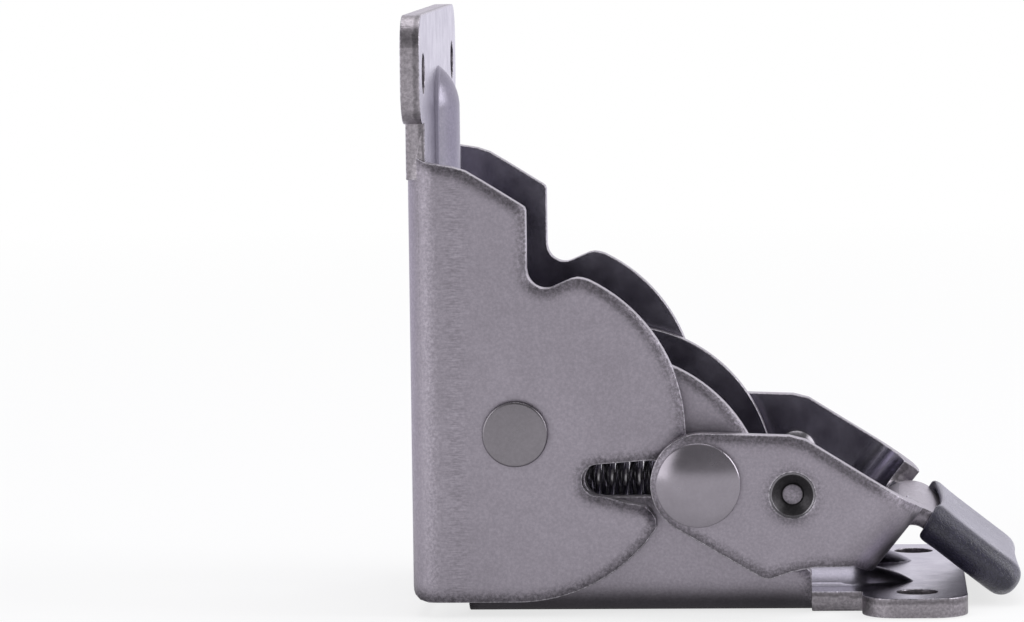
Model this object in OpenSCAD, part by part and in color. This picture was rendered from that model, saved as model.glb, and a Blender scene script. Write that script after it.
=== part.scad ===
// Folding table leg bracket: two pressed steel channels hinged together, a sliding lock pin
// pulled by two springs, and a handle that carries the pin.
// The origin lies on the table face of the inner bracket, straight below the hinge axis.
// +X runs towards the handle, +Y across the bracket and +Z up along the leg.
// The leg bracket stands square to the table face, as on an open leg, with the pin drawn out.

/* [Sheet and screws] */
// Thickness of the steel sheet of all the pressings
sheet_t = 2.7; // [2.3:0.1:3]
// Inside radius of the folds between a plate and its cheeks
fold_r = 1.5; // [1:0.1:2]
// Diameter of the screw holes
screw_d = 5.7; // [4.5:0.1:6.2]
// Diameter of the large hole in each plate
big_hole_d = 10; // [8:0.5:11]
// Corner radius of the screw ears
ear_corner_r = 5; // [3:0.5:5.5]

/* [Hinge] */
// Height of the hinge axis above the table face
pivot_z = 25.7; // [25.5:0.1:27]
// Diameter of the hinge rivets
rivet_d = 5; // [4:0.1:5.6]
// Diameter of a rivet's outer head
rivet_head_d = 9.2; // [8:0.2:12]
// Thickness of a rivet's outer head
rivet_head_t = 1.2; // [0.8:0.1:1.6]
// Diameter of a rivet's inner end
rivet_tail_d = 6.4; // [6.2:0.1:7]
// Length of a rivet's inner end
rivet_tail_l = 2.4; // [1.5:0.1:2.6]
// Diameter of the washers between the two brackets
spacer_d = 9.6; // [8:0.2:11]
// Thickness of the washers between the two brackets
spacer_t = 0.9; // [0.6:0.1:1.4]

/* [Inner bracket] */
// Width over the cheeks of the inner bracket
inner_w = 46.6; // [46:0.2:48]
// Distance from the hinge to the outer end of the inner bracket's ear
inner_reach = 62.7; // [62:0.1:65]
// Distance from the hinge back to the rear edge of the inner bracket
inner_back = 7.1; // [6.4:0.1:7.2]
// Radius of the inner bracket's cheek about the hinge
inner_lug_r = 10.9; // [9:0.1:11.1]
// Radius of the large front curve of the inner bracket's cheek
inner_curve_r = 22.7; // [22.4:0.1:23]
// Forward distance of the end of the inner bracket's cheeks
inner_cheek_reach = 41; // [40.6:0.1:42]
// Width over the inner bracket's screw ear
inner_ear_w = 60; // [58:0.5:62]
// Length of the inner bracket's screw ear
inner_ear_l = 14.7; // [14:0.1:15]
// Spacing of the ear holes of the inner bracket
inner_ear_pitch = 45.3; // [44.5:0.1:46]
// Forward distance of the middle screw hole
mid_hole_x = 26.1; // [25.6:0.1:27]
// Forward distance of the large hole
inner_big_x = 10.5; // [10:0.1:11]
// Forward distance of the pair of screw holes below the hinge
small_hole_x = 0.3; // [0:0.1:1]
// Spacing of the pair of screw holes below the hinge
small_pitch = 16; // [15:0.2:17]
// Width of the tongue on the rear edge
tongue_w = 13.8; // [10:0.2:16]
// Length of the tongue on the rear edge
tongue_l = 4; // [2:0.2:4.4]
// Distance of each stiffening rib from the middle plane
rib_y = 11.1; // [10.8:0.1:11.4]
// Width of each stiffening rib of the inner bracket
rib_w = 9.8; // [8:0.1:10.2]
// Height of the stiffening ribs of the inner bracket
rib_h = 2.6; // [2:0.1:3]

/* [Leg bracket] */
// Distance from the hinge back to the leg face
leg_back = 14.8; // [14.6:0.1:16]
// Height of the leg bracket's top above the hinge
leg_reach = 58.4; // [58:0.1:61]
// Depth of the leg bracket's plate below the hinge
leg_drop = 22; // [20:0.1:22.4]
// Radius of the lock disc about the hinge
disc_r = 23.7; // [23.5:0.1:24]
// Width over the leg bracket's screw ear
leg_ear_w = 67.6; // [66:0.2:72]
// Height of the leg bracket's screw ear
leg_ear_h = 15.1; // [14:0.1:15.5]
// Spacing of the ear holes of the leg bracket
leg_ear_pitch = 53.3; // [52:0.1:54]
// Spacing across of the four screw holes in the leg plate
leg_hole_pitch_y = 27; // [26:0.1:28]
// Spacing up the leg of the four screw holes in the leg plate
leg_hole_pitch_z = 31; // [30:0.1:32]
// Height above the hinge of the middle of the four screw holes
leg_hole_mid = 1.6; // [1:0.1:2]
// Depth below the hinge of the large hole
leg_big_drop = 6.4; // [6:0.1:7]
// Width of the stiffening rib of the leg bracket
leg_rib_w = 12; // [10:0.1:13]
// Height of the stiffening rib of the leg bracket
leg_rib_h = 3; // [2:0.1:3.2]

/* [Lock pin] */
// Diameter of the lock pin
pin_d = 4.8; // [4.4:0.1:4.9]
// Forward distance of the lock pin from the hinge, resting on the lock disc
pin_x = 25.5; // [25.4:0.05:25.8]
// Depth of the lock pin below the hinge
pin_drop = 6.85; // [6.7:0.05:7]
// Diameter of the pin's head
pin_head_d = 11.7; // [9:0.1:12.4]
// Thickness of the pin's head
pin_head_t = 2; // [1.4:0.1:2.4]
// Outer diameter of the thin washer under the pin's head
pin_washer_d = 8; // [7:0.1:9]
// Thickness of the thin washer under the pin's head
pin_washer_t = 0.5; // [0.4:0.1:0.8]
// Free height that the guide slots leave round the pin
slot_play = 0.2; // [0.1:0.05:0.4]

/* [Handle] */
// Gap between the leg bracket and each handle arm
arm_gap = 1.1; // [0.8:0.1:1.6]
// Outer radius of the folds between the handle's arms and its bridge
arm_fold_r = 8; // [6:0.1:8.5]
// Width of the tongue that carries the grip
grip_tongue_w = 32; // [28:0.5:33]
// Width of the grip
grip_w = 35.4; // [34:0.2:37]
// Thickness of the grip
grip_t = 5.4; // [5:0.1:5.6]
// Length of the grip
grip_l = 16.2; // [14:0.1:17]
// Middle radius of the bend between the handle's bridge and its tongue
bridge_bend_r = 3.8; // [3:0.1:4.2]
// Diameter of the inner head of a cam stud
stud_d = 5.8; // [5:0.1:6]
// Diameter of the neck behind the head of a cam stud
stud_neck_d = 4; // [3:0.1:4.4]
// Distance that a cam stud stands inwards from its arm
stud_l = 2.9; // [2.2:0.1:3.4]
// Diameter of the flared outer end of a cam stud
stud_flare_d = 6.4; // [6:0.1:7]
// Diameter of a cam stud's shank in its arm
stud_shank_d = 4.4; // [4:0.1:4.8]

/* [Springs] */
// Outside diameter of the springs
spring_d = 9.5; // [9:0.1:9.8]
// Diameter of the spring wire
wire_d = 1.2; // [1:0.05:1.3]
// Distance of each spring from the middle plane
spring_y = 13.7; // [13.4:0.1:14]
// Number of turns in the body of a spring
spring_turns = 9; // [8:1:9]
// Turns of the wire round the lock pin
hook_turns = 1.5; // [1.25:0.25:1.5]

/* [Hidden] */
$fn = 64;
eps = 0.01;
lap = 0.02;
web_root = 1;
bend_facets = 12;
far = 200;
run_play = 0.05;
touch_gap = 0.05;
inner_half = inner_w/2;
inner_face = inner_half - sheet_t;
leg_inner_half = inner_half + spacer_t + touch_gap;
leg_half = leg_inner_half + sheet_t;
arm_inner_half = leg_half + arm_gap;
arm_half = arm_inner_half + sheet_t;
pin_z = pivot_z - pin_drop;
inner_neck_half = inner_half - 1;
inner_flat_half = inner_half - sheet_t - fold_r - 0.5;
inner_top = pivot_z + inner_lug_r;
inner_ear_x = inner_reach - inner_ear_l;
inner_hole_x = inner_reach - 7;
inner_curve_x = 12.5;
inner_curve_z = inner_top - inner_curve_r;
inner_toe = [[inner_curve_x + inner_curve_r + 1.2, 9.5], [inner_cheek_reach, 5.6]];
rib_start = 23.6;
rib_ramp_x = 45;
rib_run_out = 2.1;
leg_hole_top = leg_reach - 8.2;
leg_ear_bottom = leg_reach - leg_ear_h;
leg_cheek_top = 39.4;
leg_wall_x = 1.8;
leg_edge = [[leg_wall_x, 0], [leg_wall_x, 31], [1.63, 31.45], [1.25, 31.75], [-4.1, 35.1],
            [-6.6, 36.6], [-8.4, 37.2], [-12, 37.8]];
leg_heel = [[0.4, 0.5], [1.1, 0.83], [2.4, 1]];
notch_at = [4.45, 22.8];
notch_r = 2.6;
notch_edge = [[leg_wall_x, 22.8], [leg_wall_x, 27], [10.7, 27], [10.7, 21.2], [9.6, 21.55],
              [8.8, 21.65], [8, 21.5], [5.5, 20.43]];
lock_slot_at = [11.4, -6.6];
lock_slot_r = 2.2;
lock_slot_edge = [[11.3, -4.4], [25, -3.4], [25, -13.3], [19.6, -13.3], [19.5, -12.2], [18.9, -11],
                  [17.9, -10.2], [15.2, -9.7], [11.8, -8.77]];
leg_rib_bottom = 14;
leg_rib_top = leg_reach - 14;
slot_h = pin_d + slot_play;
guide_back = 12;
guide_front = pin_x + 2.4;
finger_x = -0.9;
finger_z = pivot_z - 8;
finger_t = 2.2;
finger_h = 3.4;
finger_tip_l = 4.6;
web_angle = 51.2;
web_foot = [24.2, -12.9];
arm_nose_x = 0.45;
arm_nose_r = 7.1;
arm_heel_at = [9.6, -10.7];
arm_heel_r = 2.5;
arm_edge = [[arm_nose_x, arm_nose_r], [12.6, 6.65], [14.9, 6.05], [30.3, -3.55], [31.4, -4.4],
            [24.6, -13], [23.6, -12.9], [21.4, -11.7], [16, -11.6], [12.6, -12.3], [10.6, -13],
            [8.4, -12.9], [-3.2, -6.1], [-3.2, 0]];
web_relief_r = 2.6;
web_relief_at = 9.2;
grip_angle = -38;
grip_start = [31.6, -6.8];
grip_end_r = 2.4;
grip_corner_r = 3;
tongue_taper = [2.6, 1.2];
web_up = [cos(web_angle), sin(web_angle)];
web_in = [-sin(web_angle), cos(web_angle)];
grip_out = [cos(grip_angle), sin(grip_angle)];
grip_top = [-sin(grip_angle), cos(grip_angle)];
web_mid = web_foot + sheet_t/2*web_in;
bend_corner = web_mid + turn(grip_start - web_mid, grip_out)/turn(web_up, grip_out)*web_up;
bend_at = bend_corner - bridge_bend_r*(web_in + grip_top)/(1 + web_in*grip_top);
web_l = (bend_at - web_foot)*web_up;

stud_at = [13, -1.55];
stud_flare_t = 1.2;
stud_well_d = 2.6;
stud_well = 1.7;
grip_tongue_l = (grip_start - bend_at)*grip_out + grip_l - 2;
stud_neck_l = 0.9;
wire_r = wire_d/2;
coil_r = spring_d/2 - wire_r;
hook_gap = 0.3;
pin_hook_r = pin_d/2 + wire_r + hook_gap;
finger_hook_r = 2.6 + wire_r;
coil_start = finger_x + finger_hook_r + 0.9;
coil_end = pin_x - pin_hook_r - 1.35;
coil_z = (pin_z + finger_z)/2;
coil_pitch = (coil_end - coil_start)/spring_turns;
hook_pitch = wire_d + 0.5;
hook_y = spring_y + coil_r - 0.7;
foot_hook_turns = 0.8;
foot_hook_slant = 0.8;
rings_per_turn = 8;
wire_sides = 6;

// Cross product of two flat vectors, which is zero when they are parallel
function turn(a, b) = a[0]*b[1] - a[1]*b[0];

// A flat plate with rounded corners, lying in XY with its underside at z = 0
module rounded_plate(l, w, t, r) {
    linear_extrude(t) union() {
        translate([r, -w/2]) square([l - 2*r, w]);
        translate([0, r - w/2]) square([l, w - 2*r]);
        for (x = [r, l - r], y = [r - w/2, w/2 - r]) translate([x, y]) circle(r);
    }
}

// A square with two round corners at its lower edge, from y = -half to half
module round_bottom(half, h, r) {
    translate([-half, r]) square([2*half, h - r]);
    translate([r - half, 0]) square([2*(half - r), r]);
    for (s = [-1, 1]) translate([s*(half - r), r]) circle(r);
}

// A strip along X of half width half, square at x = 0 and with two round corners at x = l
module rounded_end(l, half, r) {
    translate([0, -half]) square([l - r, 2*half]);
    translate([0, r - half]) square([l, 2*(half - r)]);
    for (s = [-1, 1]) translate([l - r, s*(half - r)]) circle(r);
}

// Section of a folded channel: plate along the bottom, cheeks upwards
module channel_section(half, h, t, outer_r) {
    difference() {
        round_bottom(half, h, outer_r);
        translate([0, t]) round_bottom(half - t, h, outer_r - t);
    }
}

// Extrudes an outline drawn in the plane X, Z across the whole width
module across(half) {
    rotate([90, 0, 0]) linear_extrude(2*half, center = true) children();
}

// A long round-ended ridge of radius r along X, its axis at height z
module ridge(x0, x1, r, z) {
    translate([x0, 0, z]) rotate([0, 90, 0]) cylinder(r = r, h = x1 - x0);
    translate([x0, 0, z]) sphere(r);
    translate([x1, 0, z]) sphere(r);
}

// Radius of the round that gives a ridge of width w and height h on a flat
function ridge_r(w, h) = (w*w/4 + h*h)/(2*h);

// Stiffening rib of radius r on the inner plate, its crest at height top; its front end runs out long
module plate_rib(side, r, top) {
    translate([rib_start, side*rib_y, top - r]) {
        sphere(r);
        rotate([0, 90, 0]) cylinder(r = r, h = rib_ramp_x - rib_start);
    }
    translate([rib_ramp_x, side*rib_y, top - r]) scale([rib_run_out, 1, 1]) sphere(r);
}

// A hole straight down through a plate that lies in XY
module plate_hole(x, y, d) {
    translate([x, y, -1]) cylinder(d = d, h = sheet_t + 2);
}

// Side outline of the inner bracket's cheeks and plate, in X and Z
module inner_outline() {
    intersection() {
        translate([-inner_back, 0]) square([inner_cheek_reach + inner_back, far]);
        union() {
            translate([0, pivot_z]) circle(inner_lug_r);
            translate([inner_curve_x, inner_curve_z]) circle(inner_curve_r);
            polygon([[-inner_back, 0], [-inner_back, pivot_z], [0, pivot_z], [0, inner_top],
                     [inner_curve_x, inner_top], [inner_curve_x, inner_curve_z],
                     [inner_curve_x + inner_curve_r, inner_curve_z], inner_toe[0], inner_toe[1],
                     [inner_cheek_reach, 0]]);
        }
    }
}

// Slot along X with round ends, in the plane X, Z
module guide_slot() {
    translate([guide_back, pin_z - slot_h/2]) square([guide_front - guide_back, slot_h]);
    for (x = [guide_back, guide_front]) translate([x, pin_z]) circle(d = slot_h);
}

// Finger lanced from one cheek and bent inwards, which the lower hook of a spring grips
module finger(side) {
    root = inner_face + 0.5;
    knee = spring_y + coil_r - 2.6;
    translate([finger_x, side*(root + knee)/2, finger_z])
        cube([finger_t, root - knee, finger_h], center = true);
    translate([finger_x, side*knee, finger_z - finger_h/2]) cylinder(d = finger_t, h = finger_h);
    translate([finger_x, side*knee, finger_z - finger_h/2]) rotate([0, 0, side > 0 ? 45 : -45])
        translate([-finger_t/2, side > 0 ? -finger_tip_l : 0, 0]) cube([finger_t, finger_tip_l, finger_h]);
}

module inner_bracket() color("#8f8994") {
    rr = ridge_r(rib_w, rib_h);
    difference() {
        union() {
            intersection() {
                rotate([90, 0, 90]) translate([0, 0, -inner_back])
                    linear_extrude(inner_back + inner_cheek_reach)
                        channel_section(inner_half, far, sheet_t, fold_r + sheet_t);
                across(inner_half + 1) inner_outline();
            }
            translate([inner_cheek_reach - 3, -inner_flat_half, 0]) cube([4, 2*inner_flat_half, sheet_t]);
            translate([inner_cheek_reach, -inner_neck_half, 0])
                cube([inner_ear_x - inner_cheek_reach + 1, 2*inner_neck_half, sheet_t]);
            translate([inner_ear_x, 0, 0]) rounded_plate(inner_ear_l, inner_ear_w, sheet_t, ear_corner_r);
            translate([-inner_back - tongue_l, -tongue_w/2, 0]) cube([tongue_l + 1, tongue_w, sheet_t]);
            for (s = [-1, 1]) intersection() {
                plate_rib(s, rr, sheet_t + rib_h);
                translate([0, -inner_half, sheet_t/2]) cube([inner_reach, inner_w, far]);
            }
            for (s = [-1, 1]) finger(s);
        }
        for (s = [-1, 1]) plate_rib(s, rr - sheet_t, rib_h);
        plate_hole(mid_hole_x, 0, screw_d);
        plate_hole(inner_big_x, 0, big_hole_d);
        for (s = [-1, 1]) {
            plate_hole(small_hole_x, s*small_pitch/2, screw_d);
            plate_hole(inner_hole_x, s*inner_ear_pitch/2, screw_d);
        }
        across(far) guide_slot();
        translate([0, 0, pivot_z]) rotate([90, 0, 0]) cylinder(d = rivet_d, h = far, center = true);
    }
}

// Side outline of the leg bracket's cheeks, measured from the hinge
module leg_outline() {
    difference() {
        intersection() {
            translate([-leg_back, -disc_r]) square([far, far]);
            union() {
                circle(disc_r);
                polygon(concat([[-leg_back, leg_cheek_top], [-leg_back, -leg_drop]],
                               [for (p = leg_heel) [p[0] - leg_back, -leg_drop - p[1]*(disc_r - leg_drop)]],
                               [[0, -disc_r], [0, 0]], leg_edge));
            }
        }
        translate([-leg_back - eps, -disc_r - 1]) square([0.1 + eps, disc_r - leg_drop + 1]);
        // notch that takes the pin when the leg is folded
        translate(notch_at) circle(notch_r);
        polygon(notch_edge);
        // slot that takes the pin when the leg is locked open
        translate(lock_slot_at) circle(lock_slot_r);
        polygon(lock_slot_edge);
    }
}

module leg_bracket() color("#8f8994") translate([0, 0, pivot_z]) {
    rr = ridge_r(leg_rib_w, leg_rib_h);
    rib_axis = sheet_t + leg_rib_h - rr;
    difference() {
        union() {
            intersection() {
                translate([-leg_back, 0, -far/2]) rotate([0, 0, -90]) linear_extrude(far)
                    channel_section(leg_half, far, sheet_t, fold_r + sheet_t);
                across(leg_half + 1) leg_outline();
            }
            leg_plane() {
                translate([leg_cheek_top - 4, 1 - leg_half, 0])
                    cube([leg_ear_bottom - leg_cheek_top + 5, 2*(leg_half - 1), sheet_t]);
                translate([leg_ear_bottom, 0, 0]) rounded_plate(leg_ear_h, leg_ear_w, sheet_t, ear_corner_r);
                intersection() {
                    ridge(leg_rib_bottom, leg_rib_top, rr, rib_axis);
                    translate([0, -leg_half, sheet_t/2]) cube([leg_reach, 2*leg_half, far]);
                }
            }
        }
        leg_plane() {
            ridge(leg_rib_bottom, leg_rib_top, rr - sheet_t, rib_axis);
            plate_hole(-leg_big_drop, 0, big_hole_d);
            for (s = [-1, 1]) {
                plate_hole(leg_hole_top, s*leg_ear_pitch/2, screw_d);
                for (e = [-1, 1])
                    plate_hole(leg_hole_mid + e*leg_hole_pitch_z/2, s*leg_hole_pitch_y/2, screw_d);
            }
        }
        rotate([90, 0, 0]) cylinder(d = rivet_d + 2*run_play, h = far, center = true);
    }
}

// Lays what is drawn in XY on the leg face: X runs up the leg, and Z from the leg face inwards
module leg_plane() {
    translate([-leg_back, 0, 0]) multmatrix([[0, 0, 1, 0], [0, -1, 0, 0], [1, 0, 0, 0], [0, 0, 0, 1]])
        children();
}

// Half section of the hole that a cam stud fills in its arm, from the height low to top
module stud_seat(low, top) {
    flare = (stud_flare_d - stud_shank_d)/2;
    polygon([[0, low], [stud_shank_d/2, low], [stud_shank_d/2, arm_half - stud_flare_t],
             [stud_shank_d/2 + flare*(1 + (top - arm_half)/stud_flare_t), top], [0, top]]);
}

// Turns what is drawn along Z so that Z points outwards on one side of the bracket
module outwards(side) {
    rotate([side > 0 ? -90 : 90, 0, 0]) children();
}

// Hinge rivet: flat head outside the leg bracket, upset end inside the inner bracket
module hinge_rivet(side) color("#a19ca4") translate([0, 0, pivot_z]) outwards(side) {
    edge = 0.4;
    tail_end = inner_face - rivet_tail_l;
    head_seat = leg_half + touch_gap;
    head_end = head_seat + rivet_head_t;
    rotate_extrude() polygon([[0, tail_end], [rivet_tail_d/2 - edge, tail_end],
        [rivet_tail_d/2, tail_end + edge], [rivet_tail_d/2, inner_face], [rivet_d/2, inner_face],
        [rivet_d/2, head_seat], [rivet_head_d/2, head_seat], [rivet_head_d/2, head_end - edge],
        [rivet_head_d/2 - edge, head_end], [0, head_end]]);
}

// Washer between the cheeks of the two brackets
module spacer_washer(side) color("#77737b") translate([0, 0, pivot_z]) outwards(side)
    translate([0, 0, inner_half]) difference() {
        cylinder(d = spacer_d, h = spacer_t);
        translate([0, 0, -1]) cylinder(d = rivet_d, h = spacer_t + 2);
    }

// Low domed button standing on z = 0: a straight rim and a spherical cap
module domed_button(d, rim, h) {
    cap = h - rim;
    ball_r = (d*d/4 + cap*cap)/(2*cap);
    intersection() {
        translate([0, 0, h - ball_r]) sphere(ball_r);
        cylinder(d = d, h = h);
    }
}

// Lock pin: one long pin with a low domed head at the front and its far end flush with the arm
module lock_pin() color("#8b878e") translate([pin_x, 0, pin_z]) outwards(-1) {
    seat = arm_half + touch_gap + pin_washer_t;
    translate([0, 0, -arm_half]) cylinder(d = pin_d, h = seat + arm_half + pin_head_t/2);
    translate([0, 0, seat]) domed_button(pin_head_d, pin_head_t*0.55, pin_head_t);
}

// Thin washer between the front arm and the pin's head
module pin_washer() color("#3a383d") translate([pin_x, 0, pin_z]) outwards(-1)
    translate([0, 0, arm_half + touch_gap]) difference() {
        cylinder(d = pin_washer_d, h = pin_washer_t);
        translate([0, 0, -1]) cylinder(d = pin_d, h = pin_washer_t + 2);
    }

// Side outline of the handle's arms and bridge, measured from the lock pin
module arm_outline() {
    translate([arm_nose_x, 0]) circle(arm_nose_r);
    translate(arm_heel_at) circle(arm_heel_r);
    polygon(arm_edge);
}

// Direction from the middle of the bend above the bridge; i counts its facets
function bend_way(i) = let(a = 90 + web_angle + (grip_angle - web_angle)*i/bend_facets) [cos(a), sin(a)];

// Side outline of the bend and the tongue, which starts a little way inside the bridge
module tongue_outline() {
    inner_r = bridge_bend_r - sheet_t/2 + lap;
    outer_r = bridge_bend_r + sheet_t/2 - lap;
    polygon(concat([outer_r*web_in - web_root*web_up], [for (i = [0:bend_facets]) outer_r*bend_way(i)],
        [outer_r*grip_top + grip_tongue_l*grip_out, inner_r*grip_top + grip_tongue_l*grip_out],
        [for (i = [bend_facets:-1:0]) inner_r*bend_way(i)], [inner_r*web_in - web_root*web_up]));
}

// Rear tongue of the handle, which the grip covers; past its bend it is slightly narrower
module grip_tongue() {
    half = grip_tongue_w/2;
    neck = half - tongue_taper[1];
    wide = half + 1;
    back = tongue_taper[0]*(1 - (wide - neck)/tongue_taper[1]);
    tip = grip_tongue_l + 1;
    translate([bend_at[0], 0, bend_at[1]]) intersection() {
        across(half + lap) tongue_outline();
        rotate([0, -grip_angle, 0]) translate([0, 0, -far/2]) linear_extrude(far)
            polygon([[-far, -wide], [-far, wide], [back, wide], [tongue_taper[0], neck], [tip, neck],
                     [tip, -neck], [tongue_taper[0], -neck], [back, -wide]]);
    }
}

// Puts what is drawn with Z up the bridge and X out through it on the bridge's outer face
module bridge_plane() {
    translate([web_foot[0], 0, web_foot[1]]) rotate([0, 90 - web_angle, 0]) children();
}

// What is cut from the bridge's upper edge: the tongue's place and a round relief beside it
module bridge_cut() {
    half = grip_tongue_w/2;
    translate([-far/2, -half, web_l + 2*lap]) cube([far, 2*half, far]);
    for (s = [-1, 1]) translate([-far/2, s*(half + web_relief_r - 0.2), web_relief_at]) {
        rotate([0, 90, 0]) cylinder(r = web_relief_r, h = far);
        translate([0, -web_relief_r, 0]) cube([far, 2*web_relief_r, far]);
    }
}

module handle_yoke() color("#8f8994") translate([pin_x, 0, pin_z]) {
    difference() {
        union() {
            difference() {
                intersection() {
                    bridge_plane() translate([0, 0, -far/4]) rotate([0, 0, 90]) linear_extrude(far/2)
                        channel_section(arm_half, far, sheet_t, arm_fold_r);
                    across(arm_half + 1) arm_outline();
                }
                bridge_plane() bridge_cut();
            }
            grip_tongue();
        }
        rotate([90, 0, 0]) cylinder(d = pin_d + 2*run_play, h = far, center = true);
        for (s = [-1, 1]) translate([stud_at[0], 0, stud_at[1]]) outwards(s) rotate_extrude()
            stud_seat(arm_inner_half - 1, arm_half + 1);
    }
}

// Moulded grip over the tongue
module handle_grip() color("#46445a") translate([pin_x, 0, pin_z]) difference() {
    translate([grip_start[0], 0, grip_start[1]]) rotate([0, -grip_angle, 0]) intersection() {
        across(grip_w/2) rounded_end(grip_l, grip_t/2, grip_end_r);
        translate([0, 0, -grip_t]) linear_extrude(2*grip_t) rounded_end(grip_l, grip_w/2, grip_corner_r);
    }
    grip_tongue();
}

// Cam stud: domed inner head, and a shank whose hollow outer end is flared into the arm
module cam_stud(side) color("#55525a") translate([pin_x + stud_at[0], 0, pin_z + stud_at[1]])
    outwards(side) difference() {
        union() {
            translate([0, 0, arm_inner_half]) mirror([0, 0, 1]) {
                cylinder(d = stud_neck_d, h = stud_neck_l + eps);
                translate([0, 0, stud_neck_l]) domed_button(stud_d, 0.6, stud_l - stud_neck_l);
            }
            rotate_extrude() stud_seat(arm_inner_half, arm_half);
        }
        rotate_extrude() polygon([[0, arm_half - stud_well], [stud_well_d/2, arm_half - stud_well],
            [stud_well_d/2, arm_half - stud_flare_t + 0.2], [stud_flare_d/2 - 0.35, arm_half],
            [stud_flare_d/2 - 0.35, arm_half + 1], [0, arm_half + 1]]);
    }

// Point on the body of a spring, in X, outward Y and Z; a counts turns from the lower end
function coil_point(a) = [coil_start + coil_pitch*a, spring_y + coil_r*cos(360*a),
                          coil_z + coil_r*sin(360*a)];

// Point on the hook round the lock pin; b counts turns from where the body ends
function pin_hook_point(b) = [pin_x - pin_hook_r*cos(360*b), hook_y - hook_pitch*b,
                              pin_z + pin_hook_r*sin(360*b)];

// Point on the hook round the finger; b counts turns back from where the body starts
function finger_hook_point(b) = [finger_x + finger_hook_r*cos(360*b), hook_y - foot_hook_slant*b,
                                 finger_z - finger_hook_r*sin(360*b)];

// Smooth step from 0 to 1 as u runs from 0 to 1
function ease(u) = u <= 0 ? 0 : u >= 1 ? 1 : u*u*(3 - 2*u);

// Point on the whole wire; a runs from -foot_hook_turns to spring_turns + hook_turns
function wire_point(a) =
    a < 0.25 ? let(w = ease((a + 0.25)/0.5)) coil_point(a)*w + finger_hook_point(-a)*(1 - w) :
    a > spring_turns - 0.25 ? let(w = ease((a - spring_turns + 0.25)/0.5))
        coil_point(a)*(1 - w) + pin_hook_point(a - spring_turns)*w :
    coil_point(a);

function unit(v) = v/norm(v);

wire_from = -foot_hook_turns;
wire_to = spring_turns + hook_turns;
wire_rings = round((wire_to - wire_from)*rings_per_turn);
function wire_at(i) = wire_point(wire_from + (wire_to - wire_from)*i/wire_rings);
wire_path = [for (i = [0:wire_rings]) wire_at(i)];

// Least distance between points of the wire that lie at least half a turn apart
wire_gap = min([for (i = [0:wire_rings - 4]) min([for (j = [i + 4:1:wire_rings])
    norm(wire_path[i] - wire_path[j]) - wire_d])]);
echo(least_gap_of_spring_to_itself = wire_gap);

// Tube along a path: rings of points square to the path, joined into one closed surface
module tube(path, r, sides) {
    n = len(path);
    tang = [for (i = [0:n - 1]) unit(path[min(i + 1, n - 1)] - path[max(i - 1, 0)])];
    start = unit(cross(tang[0], [0, 1, 0]));
    side_dir = [for (i = 0, u = start; i < n; i = i + 1, t = tang[min(i, n - 1)], u = unit(u - (u*t)*t)) u];
    points = [for (i = [0:n - 1], k = [0:sides - 1])
        let(u = side_dir[i], v = cross(tang[i], u), t = 360*k/sides) path[i] + r*(u*cos(t) + v*sin(t))];
    walls = [for (i = [0:n - 2], k = [0:sides - 1]) let(m = (k + 1) % sides, a = i*sides, b = a + sides)
        each [[a + k, b + k, b + m], [a + k, b + m, a + m]]];
    ends = [[for (k = [0:sides - 1]) k], [for (k = [sides - 1:-1:0]) (n - 1)*sides + k]];
    polyhedron(points, concat(walls, ends));
}

module spring_front() color("#1d1c20") mirror([0, 1, 0]) tube(wire_path, wire_r, wire_sides);
module spring_rear() color("#1d1c20") tube(wire_path, wire_r, wire_sides);

inner_bracket();
leg_bracket();
hinge_rivet(-1);  // hinge_rivet_front
hinge_rivet(1);  // hinge_rivet_rear
spacer_washer(-1);  // spacer_washer_front
spacer_washer(1);  // spacer_washer_rear
lock_pin();
pin_washer();
handle_yoke();
handle_grip();
cam_stud(-1);  // cam_stud_front
cam_stud(1);  // cam_stud_rear
spring_front();
spring_rear();
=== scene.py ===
# Folding table leg bracket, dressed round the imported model
import bpy
import bmesh
from math import radians, sin, cos, pi, sqrt
from mathutils import Vector, Matrix


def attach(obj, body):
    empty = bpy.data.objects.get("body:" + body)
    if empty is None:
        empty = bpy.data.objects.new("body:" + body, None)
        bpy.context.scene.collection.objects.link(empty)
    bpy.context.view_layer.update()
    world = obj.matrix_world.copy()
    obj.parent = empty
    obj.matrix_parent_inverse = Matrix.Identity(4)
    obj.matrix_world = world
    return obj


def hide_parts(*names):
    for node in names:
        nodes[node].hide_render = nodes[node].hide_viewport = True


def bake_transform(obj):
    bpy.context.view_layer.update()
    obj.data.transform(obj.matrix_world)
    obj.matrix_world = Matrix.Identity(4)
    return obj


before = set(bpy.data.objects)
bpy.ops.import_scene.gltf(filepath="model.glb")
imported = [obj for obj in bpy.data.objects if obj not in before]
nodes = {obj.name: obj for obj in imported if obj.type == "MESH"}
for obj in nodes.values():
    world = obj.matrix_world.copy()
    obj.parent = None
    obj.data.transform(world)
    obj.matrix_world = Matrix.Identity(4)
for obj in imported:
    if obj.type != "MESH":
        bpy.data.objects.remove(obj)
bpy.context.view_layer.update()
mm = 0.001
weld = 0.001 * mm

# places that the pieces share, in mm, as in the part's source
place = {
    "pin": Vector((25.5, 0, 18.85)),
    "hinge": Vector((0, 0, 25.7)),
    "stud": Vector((38.5, 0, 17.3)),
    "sheet": 2.7,
    "innerHalf": 23.3,
    "legInner": 24.25,
    "legHalf": 26.95,
    "armInner": 28.05,
    "armHalf": 30.75,
}


def smoothStep(u):
    u = min(1, max(0, u))
    return u * u * (3 - 2 * u)


# camera, as the photograph's side view
print("camera")
cameraLook = {
    "target": Vector((-1.94, 0, 40.60)),
    "distance": 768.67,
    "turn": -3.66,
    "down": 4.73,
    "roll": 0.75,
    "lens": 187.75,
    "sensor": 36,
    "clip": (0.05, 60),
}


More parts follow.
